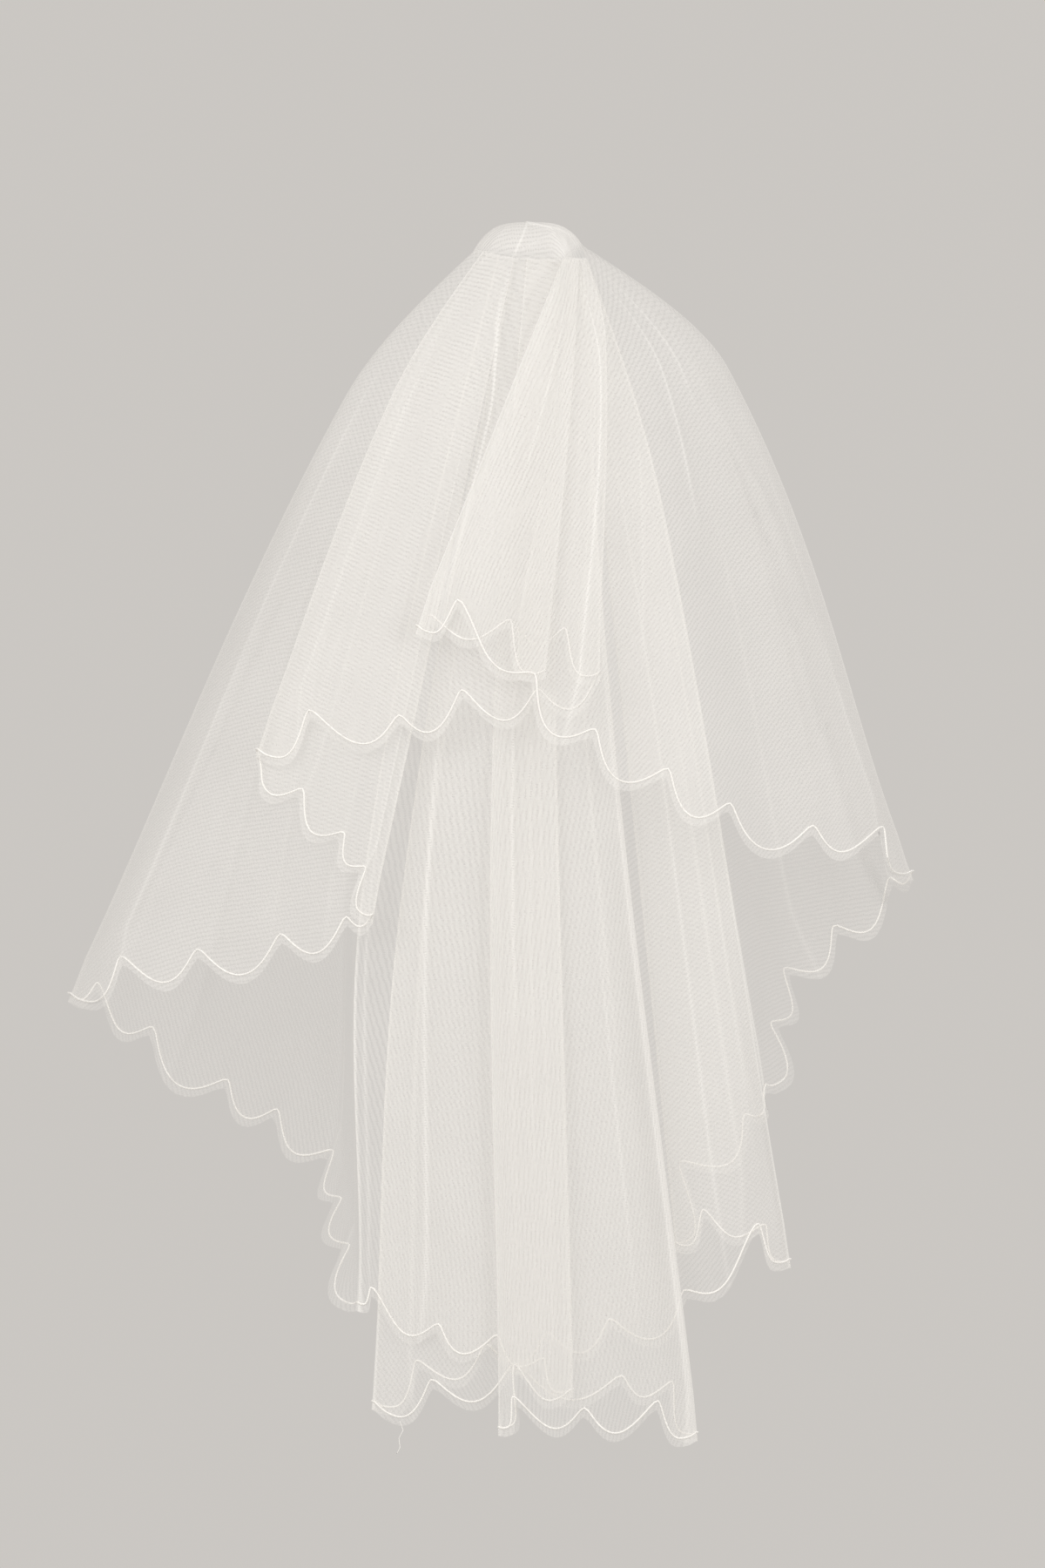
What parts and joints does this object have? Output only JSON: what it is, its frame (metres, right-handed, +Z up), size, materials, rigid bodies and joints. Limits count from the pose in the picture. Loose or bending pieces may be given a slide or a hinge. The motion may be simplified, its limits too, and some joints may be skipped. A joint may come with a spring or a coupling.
{
  "type": "bridal veil",
  "caption": "Soft off-white net drop veil with a corded scalloped edge, pleated at the crown, its short side falling back over the long side in folds.",
  "frame": {"origin": "under the top of the crown, on the middle of the net's wall, where the wearer's head holds the veil", "axes": "+Z up the wearer, +Y the way the wearer faces, so the veil hangs at -Y and +X is the wearer's right as seen from behind"},
  "size_m": [0.8397, 0.2645, 1.1792],
  "materials": {
    "net": "matte"
  },
  "bodies": {
    "root": {"crown": "net", "upper_right": "net", "pleat_front": "net", "pleat_tuck": "net", "pleat_back": "net", "upper_left": "net", "left_return": "net", "left_wing_near": "net", "left_wing_far": "net", "train_left": "net", "panel_pleat": "net", "panel": "net", "panel_back": "net", "train_far": "net", "right_return": "net", "right_fall": "net", "right_wing_far": "net"}
  },
  "joints": []
}
